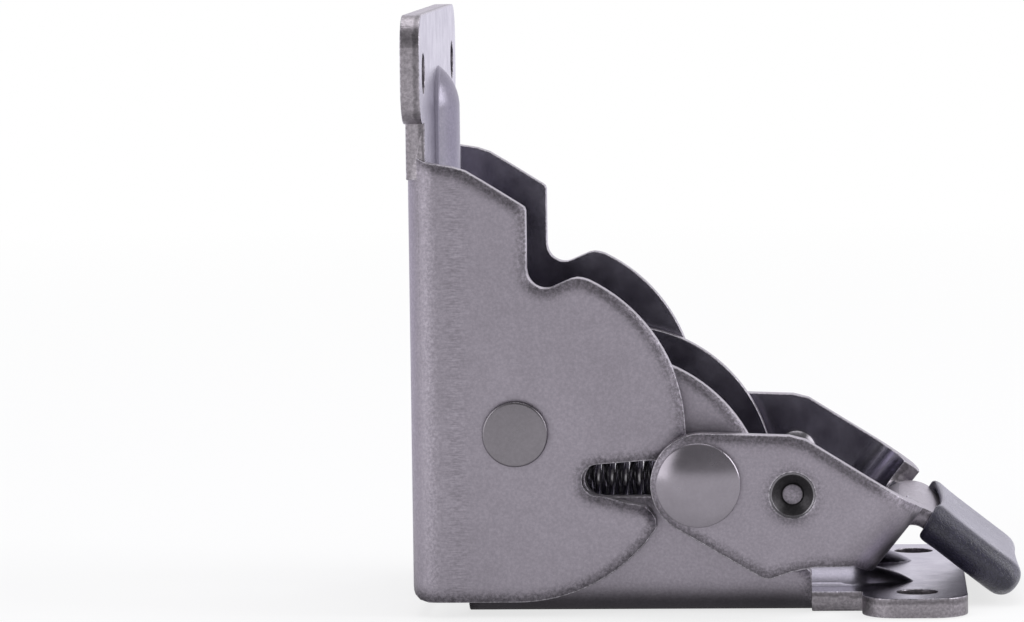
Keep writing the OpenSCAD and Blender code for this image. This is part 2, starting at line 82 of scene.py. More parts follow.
def addCamera(look):
    a, e, r = radians(look["turn"]), radians(look["down"]), radians(look["roll"])
    forward = Vector((sin(a) * cos(e), cos(a) * cos(e), -sin(e)))
    right = Vector((cos(a), -sin(a), 0))
    up = right.cross(forward)
    sideways = right * cos(r) - up * sin(r)
    upwards = right * sin(r) + up * cos(r)
    data = bpy.data.cameras.new("camera")
    data.lens = look["lens"]
    data.sensor_width = look["sensor"]
    data.clip_start, data.clip_end = look["clip"]
    cam = bpy.data.objects.new("camera", data)
    turn = Matrix((sideways, upwards, -forward)).transposed().to_4x4()
    spot = (look["target"] - forward * look["distance"]) * mm
    cam.matrix_world = Matrix.Translation(spot) @ turn
    bpy.context.scene.collection.objects.link(cam)
    bpy.context.scene.camera = cam


addCamera(cameraLook)
bpy.context.scene.view_settings.view_transform = "Standard"


# small helpers for node materials
def newMaterial(name):
    mat = bpy.data.materials.new(name)
    mat.use_nodes = True
    mat.node_tree.nodes.clear()
    return mat, mat.node_tree.nodes, mat.node_tree.links


def ramp(tree, links, source, stops):
    node = tree.new("ShaderNodeValToRGB")
    links.new(source, node.inputs["Fac"])
    while len(node.color_ramp.elements) < len(stops):
        node.color_ramp.elements.new(0.5)
    for element, (at, grey) in zip(node.color_ramp.elements, stops):
        element.position = at
        element.color = (grey, grey, grey, 1) if isinstance(grey, (int, float)) else (*grey, 1)
    return node.outputs["Color"]


def noise(tree, links, coords, scale, detail=3, rough=0.55, stretch=(1, 1, 1)):
    mapping = tree.new("ShaderNodeMapping")
    mapping.inputs["Scale"].default_value = stretch
    links.new(coords, mapping.inputs["Vector"])
    node = tree.new("ShaderNodeTexNoise")
    node.inputs["Scale"].default_value = scale
    node.inputs["Detail"].default_value = detail
    node.inputs["Roughness"].default_value = rough
    links.new(mapping.outputs["Vector"], node.inputs["Vector"])
    return node.outputs["Fac"]


def mixColour(tree, links, fac, a, b, blend="MIX"):
    node = tree.new("ShaderNodeMix")
    node.data_type = "RGBA"
    node.blend_type = blend
    for socket, value in ((node.inputs[0], fac), (node.inputs[6], a), (node.inputs[7], b)):
        if isinstance(value, bpy.types.NodeSocket):
            links.new(value, socket)
        elif isinstance(value, (int, float)) and socket.type == "RGBA":
            socket.default_value = (value, value, value, 1)
        elif isinstance(value, (int, float)):
            socket.default_value = value
        else:
            socket.default_value = (*value, 1)
    return node.outputs[2]


def mathNode(tree, links, operation, *values, kind="ShaderNodeMath", output=0):
    node = tree.new(kind)
    node.operation = operation
    for socket, value in zip(node.inputs, values):
        if isinstance(value, bpy.types.NodeSocket):
            links.new(value, socket)
        else:
            socket.default_value = value
    return node.outputs[output]


def vectorNode(tree, links, operation, *values, output="Vector"):
    kind = "ShaderNodeVectorMath"
    return mathNode(tree, links, operation, *values, kind=kind, output=output)


def bump(tree, links, height, distance, strength=1.0, normal=None):
    node = tree.new("ShaderNodeBump")
    node.inputs["Strength"].default_value = strength
    node.inputs["Distance"].default_value = distance
    links.new(height, node.inputs["Height"])
    if normal is not None:
        links.new(normal, node.inputs["Normal"])
    return node.outputs["Normal"]


def outputOf(tree, links, source, kind="ShaderNodeOutputMaterial"):
    links.new(source, tree.new(kind).inputs["Surface"])


def principled(tree, links, values, sources):
    shader = tree.new("ShaderNodeBsdfPrincipled")
    for name, value in values.items():
        shader.inputs[name].default_value = value
    for name, source in sources.items():
        links.new(source, shader.inputs[name])
    outputOf(tree, links, shader.outputs[0])


# finishes
print("finishes")
steelLook = {
    "face": (0.327, 0.299, 0.348),
    # the inside colour is the face colour darkened: painted shade for the sheet's inner faces and
    # ribs
    "inside": (0.262, 0.248, 0.3),
    "cut": (0.285, 0.262, 0.29),
    # the rim colour is lighter than the face: a painted highlight along the broken edges
    "rim": (0.38, 0.358, 0.4),
    "rough": 0.4,
    "rollOff": 0.0032,
    # along X, where the fold stretched the leg bracket's skin and where its flank is pitted
    "strokesAt": (-0.0112, -0.0055),
    "grainAt": (-0.0142, -0.0092),
}
# what all plated steel shares: its noises by scale, detail and roughness, and their tones
plateLook = {
    "fine": (2500, 4, 0.66),
    "cloud": (260, 3, 0.55),
    "broad": (60, 2, 0.5),
    "torn": (420, 4, 0.6),
    "strokes": (4500, 2, 0.6, (0.2, 0.2, 1)),
    "streaks": (900, 3, 0.6, (0.12, 1, 1)),
    "cloudTone": [(0.3, 0.94), (0.7, 1.05)],
    "broadTone": [(0.3, 0.95), (0.7, 1.04)],
    "speckTone": [(0.34, 0.35), (0.5, 0.95), (0.68, 1.8)],
    "speckShare": 0.3,
    "pitShare": 0.34,
    "rimTurn": [(0.88, 1.0), (0.975, 0.7), (0.9995, 0.0)],
    # how much painted shade darkens the colour near a cut edge
    "edgeShadeTone": [(0.0, 1.0), (1.0, 0.72)],
    "rimShare": 0.5,
    "strokeTone": [(0.36, 0.84), (0.52, 1.0), (0.66, 1.14)],
    "shearTone": [(0.3, 1.0), (0.46, 0.66), (0.54, 0.78), (0.62, 1.22), (0.95, 1.14)],
    "shearWave": 0.5,
    "roughBy": 0.05,
    "bump": 0.00003,
}


def bandAlong(tree, links, coords, limits):
    # 1 in the middle of a band along X and 0 at its limits
    along = tree.new("ShaderNodeSeparateXYZ")
    links.new(coords, along.inputs[0])
    middle, half = (limits[0] + limits[1]) / 2, (limits[1] - limits[0]) / 2
    away = mathNode(tree, links, "SUBTRACT", along.outputs["X"], middle)
    away = mathNode(tree, links, "ABSOLUTE", away)
    return ramp(tree, links, mathNode(tree, links, "DIVIDE", away, half), [(0.1, 1.0), (1.0, 0.0)])


def platedSteel(name, colour, rough, grain=1.0, streaks=0.0, speckle=0.5, rollOff=0.0,
                strokesAt=None, grainAt=None, sheared=False):
    look = plateLook
    mat, tree, links = newMaterial(name)
    coords = tree.new("ShaderNodeTexCoord").outputs["Object"]
    fine = noise(tree, links, coords, *look["fine"])
    cloud = noise(tree, links, coords, *look["cloud"])
    broad = noise(tree, links, coords, *look["broad"])
    cloudTone = ramp(tree, links, cloud, look["cloudTone"])
    broadTone = ramp(tree, links, broad, look["broadTone"])
    tone = mixColour(tree, links, 1.0, cloudTone, broadTone, "MULTIPLY")
    base = mixColour(tree, links, 1.0, colour, tone, "MULTIPLY")
    specks = ramp(tree, links, fine, look["speckTone"])
    speckMix = look["speckShare"] * speckle
    normal = None
    if rollOff:
        # the die draws the sheet down near its cut edge; there the colour is darkened, a painted
        # shade of the edge turned from the light, and specked
        rolled = tree.new("ShaderNodeBevel")
        rolled.samples = 8
        rolled.inputs["Radius"].default_value = rollOff
        normal = rolled.outputs[0]
        flat = tree.new("ShaderNodeNewGeometry").outputs["Normal"]
        turn = vectorNode(tree, links, "DOT_PRODUCT", normal, flat, output="Value")
        near = ramp(tree, links, turn, look["rimTurn"])
        shade = ramp(tree, links, near, look["edgeShadeTone"])
        base = mixColour(tree, links, 1.0, base, shade, "MULTIPLY")
        speckMix = mathNode(tree, links, "MULTIPLY_ADD", near, look["rimShare"], speckMix)
    if grainAt:
        pitted = bandAlong(tree, links, coords, grainAt)
        pitted = mathNode(tree, links, "MULTIPLY", pitted, look["pitShare"])
        speckMix = mathNode(tree, links, "MAXIMUM", pitted, speckMix)
    speckled = mixColour(tree, links, 1.0, base, specks, "MULTIPLY")
    base = mixColour(tree, links, speckMix, base, speckled)
    if strokesAt:
        # short strokes across the sheet where it was stretched round its fold
        band = bandAlong(tree, links, coords, strokesAt)
        strokes = noise(tree, links, coords, *look["strokes"])
        strokes = ramp(tree, links, strokes, look["strokeTone"])
        stroked = mixColour(tree, links, 1.0, base, strokes, "MULTIPLY")
        base = mixColour(tree, links, band, base, stroked)
    if sheared:
        # the punch leaves a smooth band by the outer face and a torn, darker one by the inner face
        across = tree.new("ShaderNodeAttribute")
        across.attribute_name = "across"
        wave = noise(tree, links, coords, *look["torn"])
        wave = mathNode(tree, links, "MULTIPLY_ADD", wave, look["shearWave"], across.outputs["Fac"])
        bands = ramp(tree, links, wave, look["shearTone"])
        base = mixColour(tree, links, 1.0, base, bands, "MULTIPLY")
    height = fine
    if streaks:
        lines = noise(tree, links, coords, *look["streaks"])
        height = mathNode(tree, links, "MULTIPLY_ADD", lines, streaks, fine)
    roughStops = [(0.25, rough - look["roughBy"]), (0.75, rough + look["roughBy"])]
    principled(tree, links, {"Metallic": 1.0}, {
        "Base Color": base,
        "Roughness": ramp(tree, links, cloud, roughStops),
        "Normal": bump(tree, links, height, look["bump"] * grain, 0.6, normal),
    })
    return mat


roll = steelLook["rollOff"]
faceSteel = platedSteel("faceSteel", steelLook["face"], steelLook["rough"], rollOff=roll)
legSteel = platedSteel("legSteel", steelLook["face"], steelLook["rough"], rollOff=roll,
                       strokesAt=steelLook["strokesAt"], grainAt=steelLook["grainAt"])
# the inner faces and ribs take the darker inside colour, a painted shade
shadedInsideSteel = platedSteel("shadedInsideSteel", steelLook["inside"], 0.21, grain=0.32, speckle=0.5)
shadedRibSteel = platedSteel("shadedRibSteel", steelLook["inside"], 0.36, grain=0.5, speckle=0.5)
cutSteel = platedSteel("cutSteel", steelLook["cut"], 0.34, grain=1.8, streaks=1.0, speckle=1.3,
                       sheared=True)
rimHighlightSteel = platedSteel("rimHighlightSteel", steelLook["rim"], 0.28, grain=1.2, speckle=2.4)
rivetSteel = platedSteel("rivetSteel", (0.215, 0.2, 0.222), 0.3, grain=0.3, speckle=0.3)
headSteel = platedSteel("headSteel", (0.29, 0.267, 0.305), 0.24, grain=0.12, speckle=0.15)
pinSteel = platedSteel("pinSteel", (0.2, 0.188, 0.205), 0.2, grain=0.2, speckle=0.3)
studSteel = platedSteel("studSteel", (0.2, 0.19, 0.21), 0.26, grain=0.4, speckle=0.4)
# dark walls of the stud's well: painted shade of the recess, partly dark oxide
wellShadeAndOxideSteel = platedSteel("wellShadeAndOxideSteel", (0.06, 0.057, 0.062), 0.36, grain=0.8, speckle=1.0)
washerSteel = platedSteel("washerSteel", (0.12, 0.112, 0.125), 0.4, grain=0.8)


wireLook = {
    "patches": (900, 3, 0.6),
    "colour": [(0.35, (0.13, 0.127, 0.135)), (0.7, (0.3, 0.292, 0.31))],
    "rough": [(0.3, 0.14), (0.7, 0.24)],
    "bump": 0.00001,
}


def springFinish(look):
    mat, tree, links = newMaterial("springSteel")
    coords = tree.new("ShaderNodeTexCoord").outputs["Object"]
    patches = noise(tree, links, coords, *look["patches"])
    principled(tree, links, {"Metallic": 1.0}, {
        "Base Color": ramp(tree, links, patches, look["colour"]),
        "Roughness": ramp(tree, links, patches, look["rough"]),
        "Normal": bump(tree, links, patches, look["bump"], 0.5),
    })
    return mat


springSteel = springFinish(wireLook)


rubberLook = {
    "fine": (5200, 3, 0.6),
    "fineShare": 0.5,
    "cloud": (320, 3, 0.5),
    "cells": 1700,
    "cellTone": [(0.0, 0.0), (0.16, 0.8), (0.5, 1.0)],
    "cellShare": 0.35,
    "colour": [(0.3, (0.024, 0.022, 0.043)), (0.72, (0.042, 0.039, 0.071))],
    "rough": [(0.3, 0.26), (0.7, 0.36)],
    "bump": 0.00009,
    "shader": {
        "Specular IOR Level": 0.3,
        "Sheen Weight": 0.3,
        "Sheen Roughness": 0.32,
        "Sheen Tint": (0.82, 0.8, 1.0, 1),
        "Coat Weight": 0.75,
        "Coat Roughness": 0.4,
    },
}


def rubberFinish(look):
    mat, tree, links = newMaterial("gripRubber")
    coords = tree.new("ShaderNodeTexCoord").outputs["Object"]
    cells = tree.new("ShaderNodeTexVoronoi")
    cells.inputs["Scale"].default_value = look["cells"]
    cells.feature = "DISTANCE_TO_EDGE"
    links.new(coords, cells.inputs["Vector"])
    grain = ramp(tree, links, cells.outputs["Distance"], look["cellTone"])
    fine = noise(tree, links, coords, *look["fine"])
    cloud = noise(tree, links, coords, *look["cloud"])
    wear = ramp(tree, links, cloud, look["colour"])
    grained = mixColour(tree, links, 1.0, wear, grain, "MULTIPLY")
    height = mathNode(tree, links, "MULTIPLY_ADD", fine, look["fineShare"], grain)
    principled(tree, links, look["shader"], {
        "Base Color": mixColour(tree, links, look["cellShare"], wear, grained),
        "Roughness": ramp(tree, links, cloud, look["rough"]),
        "Normal": bump(tree, links, height, look["bump"], 0.7),
    })
    return mat


gripRubber = rubberFinish(rubberLook)


# finishing a piece: its object stays at the origin
def makeObject(name, bm, materials, smooth=True):
    mesh = bpy.data.meshes.new(name)
    bm.to_mesh(mesh)
    bm.free()
    for mat in materials:
        mesh.materials.append(mat)
    mesh.polygons.foreach_set("use_smooth", [smooth] * len(mesh.polygons))
    made = bpy.data.objects.new(name, mesh)
    bpy.context.scene.collection.objects.link(made)
    return made


def makePiece(name, bm, body, cadNodes, materials, sharp=40, weighted=True):
    piece = makeObject(name, bm, materials)
    piece.data.set_sharp_from_angle(angle=radians(sharp))
    if weighted:
        modifier = piece.modifiers.new("flatFaces", "WEIGHTED_NORMAL")
        modifier.keep_sharp = True
        modifier.weight = 90
    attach(piece, body)
    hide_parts(*cadNodes)
    return piece


# pressed sheet pieces: a merged copy of the CAD mesh, its faces told apart and its edges broken
print("pressed sheet")
sheetLook = {
    "weld": 0.02,
    "flatten": 0.4,
    "smoothAngle": 24,
    "bevelFrom": 38,
    "edgeBreak": 0.13,
    "cheekFlat": 0.999,
    "cheekArea": 60,
    "cheekOff": 0.1,
}
sheetSlots = {"outer": 0, "inner": 1, "cut": 2, "rim": 3, "rib": 4}


def floodFrom(seeds, limit):
    # the faces that can be reached from the seeds over edges that bend less than the limit
    found = set(seeds)
    queue = list(seeds)
    while queue:
        face = queue.pop()
        for edge in face.edges:
            if len(edge.link_faces) != 2 or edge.calc_face_angle(pi) > limit:
                continue
            for other in edge.link_faces:
                if other not in found:
                    found.add(other)
                    queue.append(other)
    return found


def pressedForms(bm, outer, inner, limit):
    # a pressed form meets one side of the sheet only: a groove the outer and a rib the inner
    done = outer | inner
    grooves, ribs = set(), set()
    for face in bm.faces:
        if face in done:
            continue
        patch = floodFrom([face], limit)
        done |= patch
        beside = {other for f in patch for e in f.edges for other in e.link_faces}
        if beside & outer and not beside & inner:
            grooves |= patch
        elif beside & inner and not beside & outer:
            ribs |= patch
    return grooves, ribs


def pressedSheet(name, node, body, outerSeed, innerSeed, look, outside):
    bm = bmesh.new()
    bm.from_mesh(nodes[node].data)
    bmesh.ops.remove_doubles(bm, verts=bm.verts, dist=look["weld"] * mm)
    flatten = radians(look["flatten"])
    bmesh.ops.dissolve_limit(bm, angle_limit=flatten, verts=bm.verts, edges=bm.edges)
    limit = radians(look["smoothAngle"])
    outer = floodFrom([f for f in bm.faces if outerSeed(f)], limit)
    inner = floodFrom([f for f in bm.faces if innerSeed(f) and f not in outer], limit)
    grooves, ribs = pressedForms(bm, outer, inner, limit)
    outer |= grooves
    sides = (("outer", outer), ("inner", inner), ("rib", ribs))
    # runs from 1 at the outer face to 0 at the inner one, for the bands of the cut edges
    across = bm.loops.layers.float.new("across")
    for face in bm.faces:
        side = next((side for side, faces in sides if face in faces), "cut")
        face.material_index = sheetSlots[side]
        for loop in face.loops:
            loop[across] = 1.0 if outer.intersection(loop.vert.link_faces) else 0.0
    sharp = [e for e in bm.edges if len(e.link_faces) == 2 and e.is_convex
             and e.calc_face_angle(0) > radians(look["bevelFrom"])]
    broken = bmesh.ops.bevel(bm, geom=sharp, offset=look["edgeBreak"] * mm, affect="EDGES",
                             segments=3, profile=0.5, material=-1, clamp_overlap=False)
    # the broken edges take the lighter rim finish, a painted highlight line
    for face in broken["faces"]:
        face.material_index = sheetSlots["rim"]
    mats = [outside, shadedInsideSteel, cutSteel, rimHighlightSteel, shadedRibSteel]
    makePiece(name, bm, body, [node], mats)


def cheekAt(half, look):
    # finds the large flat faces of the two cheeks that lie this far from the middle plane
    def isCheek(face):
        off = abs(abs(face.calc_center_median().y) - half * mm)
        large = face.calc_area() > look["cheekArea"] * mm * mm
        flat = abs(face.normal.y) > look["cheekFlat"]
        return flat and large and off < look["cheekOff"] * mm
    return isCheek


innerSide = place["innerHalf"] - place["sheet"]
for node, body, outerHalf, innerHalf, steel in (
        ("leg_bracket", "leg", place["legHalf"], place["legInner"], legSteel),
        ("inner_bracket", "base", place["innerHalf"], innerSide, faceSteel),
        ("handle_yoke", "handle", place["armHalf"], place["armInner"], faceSteel)):
    pressedSheet(node + "_sheet", node, body, cheekAt(outerHalf, sheetLook),
                 cheekAt(innerHalf, sheetLook), sheetLook, steel)


# turned pieces: a profile of radius and height spun about an axis along Y
print("turned pieces")


def turned(name, profile, centre, side, body, mats, steps=72, choose=None):
    bm = bmesh.new()
    verts = [bm.verts.new((r * mm, 0, h * mm)) for r, h in profile]
    edges = [bm.edges.new(pair) for pair in zip(verts, verts[1:])]
    bmesh.ops.spin(bm, geom=verts + edges, cent=(0, 0, 0), axis=(0, 0, 1), angle=2 * pi,
                   steps=steps, use_merge=True, use_duplicate=False)
    bmesh.ops.remove_doubles(bm, verts=bm.verts, dist=weld)
    bmesh.ops.recalc_face_normals(bm, faces=bm.faces)
    for face in bm.faces:
        middle = face.calc_center_median() / mm
        away = sqrt(middle.x ** 2 + middle.y ** 2)
        face.material_index = choose(away, middle.z) if choose else 0
    turn = Matrix.Rotation(radians(-90 if side > 0 else 90), 4, "X")
    move = Matrix.Translation(centre * mm)
    bmesh.ops.transform(bm, verts=bm.verts, matrix=move @ turn)
    makePiece(name + "_turned", bm, body, [name], mats, 35, weighted=False)


def raised(profile, height):
    return [(r, height + z) for r, z in profile]


def dome(radius, low, high, count):
    # points of a spherical cap from its edge to its middle
    rise = high - low
    ball = (radius * radius + rise * rise) / (2 * rise)
    points = []
    for i in range(count + 1):
        r = radius * cos(pi / 2 * i / count)
        points.append((r, high - ball + sqrt(ball * ball - r * r)))
    points[-1] = (0, high)
    return points


# the heights of a profile count from the face that it is named after, or sits on
runningGap = 0.05
pinLook = {
    "shank": 2.4,
    "end": 2.1,
    "endLength": 0.3,
    "washer": [(2.4, 0), (3.9, 0), (4.0, 0.1), (4.0, 0.4), (3.9, 0.5), (2.4, 0.5), (2.4, 0)],
    "washerThick": 0.5,
    "head": [(5.5, 0), (5.76, 0.1), (5.85, 0.3), (5.85, 0.6)],
    "dome": (5.71, 0.76, 2.0, 16),
}
half = place["armHalf"]
washerAt = half + runningGap
seat = half + runningGap + pinLook["washerThick"]
turned("lock_pin",
       [(0, -half), (pinLook["end"], -half), (pinLook["shank"], pinLook["endLength"] - half),
        (pinLook["shank"], seat)] + raised(pinLook["head"] + dome(*pinLook["dome"]), seat),
       place["pin"], -1, "pin", [pinSteel, headSteel], 96,
       choose=lambda r, z: 1 if z > seat - 0.01 else 0)
turned("pin_washer", raised(pinLook["washer"], washerAt), place["pin"], -1, "pin",
       [washerSteel])

rivetLook = {
    "shank": 2.5,
    "tailEnd": [(0, 0.1), (1.6, 0), (2.7, 0.1), (3.1, 0.4), (3.2, 0.9)],
    "tail": 3.2,
    "tailLength": 2.4,
    "headSeat": [(2.5, 0), (4.5, 0), (4.6, 0.1)],
    "headTop": [(4.6, -0.36), (4.52, -0.14), (4.36, -0.02), (4.2, 0), (0, 0)],
    "headThick": 1.2,
}
spacerLook = {
    "ring": [(2.5, 0), (4.65, 0), (4.8, 0.15), (4.8, 0.75), (4.65, 0.9), (2.5, 0.9), (2.5, 0)],
}
studLook = {
    "dome": (2.9, 1.6, 2.9, 10),
    "armInside": [(2.86, -1.1), (2.72, -0.92), (2.0, -0.9), (2.0, 0), (2.2, 0)],
    "armOutside": [(2.2, -1.2), (3.16, -0.06), (3.12, 0), (3.0, -0.02), (2.85, -0.14),
                   (1.7, -1.3), (1.52, -1.42), (1.46, -1.3), (1.36, -1.24), (0, -1.22)],
    "wellDepth": 1.5,
    "well": 2.86,
    "button": 1.4,
}
for side, end in ((-1, "front"), (1, "rear")):
    head = place["legHalf"] + runningGap
    turned("hinge_rivet_" + end,
           raised(rivetLook["tailEnd"], innerSide - rivetLook["tailLength"]) +
           [(rivetLook["tail"], innerSide), (rivetLook["shank"], innerSide)] +
           raised(rivetLook["headSeat"], head) +
           raised(rivetLook["headTop"], head + rivetLook["headThick"]),
           place["hinge"], side, "base", [rivetSteel], 80)
    turned("spacer_washer_" + end, raised(spacerLook["ring"], place["innerHalf"]),
           place["hinge"], side, "base", [washerSteel])
    inside, outside = place["armInner"], place["armHalf"]
    wellEnd = outside - studLook["wellDepth"]
    domed = [(r, inside - z) for r, z in reversed(dome(*studLook["dome"]))]
    # in the stud's end the well walls are dark, painted shade and partly oxide; its flat middle
    # takes the lighter sheet finish, painted light
    turned("cam_stud_" + end,
           domed + raised(studLook["armInside"], inside) + raised(studLook["armOutside"], outside),
           place["stud"], side, "handle", [studSteel, wellShadeAndOxideSteel, faceSteel], 64,
           choose=lambda r, z: 0 if z <= wellEnd or r >= studLook["well"] else
           2 if r < studLook["button"] else 1)


# springs: one wire each, wound, hooked round the finger and round the pin
print("springs")
springLook = {
    "outer": 9.5, "wire": 1.2, "y": 13.7, "turns": 9, "perTurn": 24,
    "pinGap": 0.3, "pinLead": 1.35, "pinStep": 0.5, "hookTurns": 1.5,
    "fingerX": -0.9, "fingerZ": 17.7, "fingerRadius": 2.6,
    "fingerLead": 0.9, "fingerStep": 0.8, "footTurns": 0.8,
    "hookInset": 0.7, "easeTurns": 0.25,
}


def springPath(look):
    wire = look["wire"] / 2
    coil = look["outer"] / 2 - wire
    pinX, pinZ = place["pin"].x, place["pin"].z
    pinHook = pinLook["shank"] + wire + look["pinGap"]
    fingerHook = look["fingerRadius"] + wire
    start = look["fingerX"] + fingerHook + look["fingerLead"]
    stop = pinX - pinHook - look["pinLead"]
    coilZ = (pinZ + look["fingerZ"]) / 2
    hookY = look["y"] + coil - look["hookInset"]
    soft = look["easeTurns"]

    def onCoil(a):
        x = start + (stop - start) / look["turns"] * a
        return Vector((x, look["y"] + coil * cos(2 * pi * a), coilZ + coil * sin(2 * pi * a)))

    def onPin(b):
        y = hookY - (look["wire"] + look["pinStep"]) * b
        return Vector((pinX - pinHook * cos(2 * pi * b), y, pinZ + pinHook * sin(2 * pi * b)))

    def onFinger(b):
        y = hookY - look["fingerStep"] * b
        x, z = look["fingerX"], look["fingerZ"]
        return Vector((x + fingerHook * cos(2 * pi * b), y, z - fingerHook * sin(2 * pi * b)))

    count = round((look["footTurns"] + look["turns"] + look["hookTurns"]) * look["perTurn"])
    points = []
    for i in range(count + 1):
        a = -look["footTurns"] + i / look["perTurn"]
        if a < soft:
            w = smoothStep((a + soft) / (2 * soft))
            points.append(onCoil(a) * w + onFinger(-a) * (1 - w))
        elif a > look["turns"] - soft:
            w = smoothStep((a - look["turns"] + soft) / (2 * soft))
            points.append(onCoil(a) * (1 - w) + onPin(a - look["turns"]) * w)
        else:
            points.append(onCoil(a))
    return points, start, stop


def wireMesh(name, points, radius):
    curve = bpy.data.curves.new(name, "CURVE")
    curve.dimensions = "3D"
    curve.bevel_depth = radius * mm
    curve.bevel_resolution = 3
    curve.use_fill_caps = True
    spline = curve.splines.new("POLY")
    spline.points.add(len(points) - 1)
    for slot, p in zip(spline.points, points):
        slot.co = (*(p * mm), 1)
    holder = bpy.data.objects.new(name, curve)
    bpy.context.scene.collection.objects.link(holder)
    graph = bpy.context.evaluated_depsgraph_get()
    shape = bpy.data.meshes.new_from_object(holder.evaluated_get(graph))
    bpy.data.objects.remove(holder)
    return shape


wirePoints, coilStart, coilStop = springPath(springLook)
for side, end in ((-1, "front"), (1, "rear")):
    points = [Vector((p.x, p.y * side, p.z)) for p in wirePoints]
    bm = bmesh.new()
    bm.from_mesh(wireMesh("wire" + end, points, springLook["wire"] / 2))
    bmesh.ops.remove_doubles(bm, verts=bm.verts, dist=weld)
    bmesh.ops.recalc_face_normals(bm, faces=bm.faces)
    spring = makeObject("spring_" + end + "_wire", bm, [springSteel])
    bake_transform(spring)
    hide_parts("spring_" + end)


# rubber grip over the tongue
print("grip")
gripLook = {
    "start": Vector((57.1, 0, 12.05)),
    "slope": -38,
    "length": 16.2,
    "thick": 5.4,
    "mouthHalf": 17.1,
    "endHalf": 16.9,
    "belly": 0.6,
    "cuts": (11, 15, 5),
    "mouth": (0.43, 0.33),  # half width and half height of the mouth, as shares of the cube
    "mouthDepth": 3.0,
    "crown": 0.03,
    "barrel": 0.012,
    "sideFrom": (0.93, 0.07),  # where along a half width the rounding starts, and its length
    "sideThin": 0.14,
    "sidePull": 1.3,
    "endFrom": (0.84, 0.16),
    "endThin": 0.24,
    "endPull": (0.7, 0.9, 0.6),
    "lipLength": 0.4,
    "lipSetBack": 1.4,
    "lipLean": 0.35,
    "lipFlare": 0.05,
    "flareLength": 0.2,
    "dish": 0.3,
}


def cutAcross(bm, axis, cuts):
    # more rows of faces along one axis of the unit cube
    edges = [e for e in bm.edges if abs((e.verts[0].co - e.verts[1].co)[axis]) > 0.5]
    bmesh.ops.subdivide_edges(bm, edges=edges, cuts=cuts, use_grid_fill=True)


def makeGrip(look):
    bm = bmesh.new()
    bmesh.ops.create_cube(bm, size=1.0)
    for axis, cuts in enumerate(look["cuts"]):
        cutAcross(bm, axis, cuts)
    wide, high = look["mouth"]
    mouth = [f for f in bm.faces if f.normal.x < -0.9 and abs(f.calc_center_median().y) < wide
             and abs(f.calc_center_median().z) < high]
    sideFrom, sideOver = look["sideFrom"]
    endFrom, endOver = look["endFrom"]
    edgePull, cornerPull, middlePull = look["endPull"]
    for vert in bm.verts:
        # u runs from the mouth to the free end, v across and w up
        u, v, w = vert.co.x + 0.5, vert.co.y * 2, vert.co.z * 2
        half = look["mouthHalf"] + (look["endHalf"] - look["mouthHalf"]) * u
        half += look["belly"] * sin(pi * u ** 1.3)
        # the long sides are thinner and round
        sideRound = smoothStep((abs(v) - sideFrom) / sideOver)
        s = u * look["length"]
        t = w * (look["thick"] / 2) * (1 + look["crown"] - look["sideThin"] * sideRound)
        y = v * half * (1 - look["barrel"] * w * w)
        y -= (1 if v > 0 else -1) * look["sidePull"] * sideRound * abs(w) ** 2.4
        # the free end is round from above and from the side
        ending = smoothStep((u - endFrom) / endOver)
        t *= 1 - look["endThin"] * ending ** 2
        s -= (edgePull * abs(w) ** 2.5 + cornerPull * sideRound) * ending
        s -= middlePull * (1 - v * v) * ending
        # the mouth is nearly square to the tongue, its middle set back towards the free end
        opening = 1 - smoothStep(u / look["lipLength"])
        s += opening * (look["lipSetBack"] * (1 - v * v) ** 0.7 - look["lipLean"] * w)
        flare = look["lipFlare"] * (1 - smoothStep(u / look["flareLength"]))
        t *= 1 + flare * (1 - 0.6 * sideRound)
        # the upper face is slightly hollow
        t -= (look["dish"] * (1 - v * v) * sin(pi * u) if w > 0 else 0) * abs(w)
        vert.co = (s, y, t)
    bm.normal_update()
    hollow = bmesh.ops.extrude_face_region(bm, geom=mouth)
    sunk = [v for v in hollow["geom"] if isinstance(v, bmesh.types.BMVert)]
    bmesh.ops.delete(bm, geom=mouth, context="FACES_ONLY")
    bmesh.ops.translate(bm, verts=sunk, vec=(look["mouthDepth"], 0, 0))
    bmesh.ops.scale(bm, verts=sunk, vec=(1, 0.99, 0.9))
    bmesh.ops.recalc_face_normals(bm, faces=bm.faces)
    turn = Matrix.Rotation(radians(-look["slope"]), 4, "Y")
    move = Matrix.Scale(mm, 4) @ Matrix.Translation(look["start"])
    bmesh.ops.transform(bm, verts=bm.verts, matrix=move @ turn)
    piece = makePiece("handle_grip_moulded", bm, "handle", ["handle_grip"],
                      [gripRubber], 80, weighted=False)
    surface = piece.modifiers.new("smooth", "SUBSURF")
    surface.levels = surface.render_levels = 2


makeGrip(gripLook)


# floor, light and background
print("stage")
stageLook = {
    "half": 9,
    "drop": 0.0001,
    "colour": (0.86, 0.86, 0.87, 1),
    "whiteFrom": [(0.2, 0.74), (0.8, 1.0)],
    "foot": (0.02, 0, 0),
    "footHalf": (0.034, 0.023, 1.0),
    # painted shadow at the object's foot, seen in reflections only
    "footShadowTone": [(0.0, 0.1), (0.007, 0.55), (0.03, 0.92), (0.2, 1.0)],
    "behindTint": [(0.0, 1.0), (0.15, (1.1, 1.07, 1.2))],
}


def mixShader(tree, links, fac, a, b):
    node = tree.new("ShaderNodeMixShader")
    for socket, source in zip(node.inputs, (fac, a, b)):
        links.new(source, socket)
    return node.outputs[0]


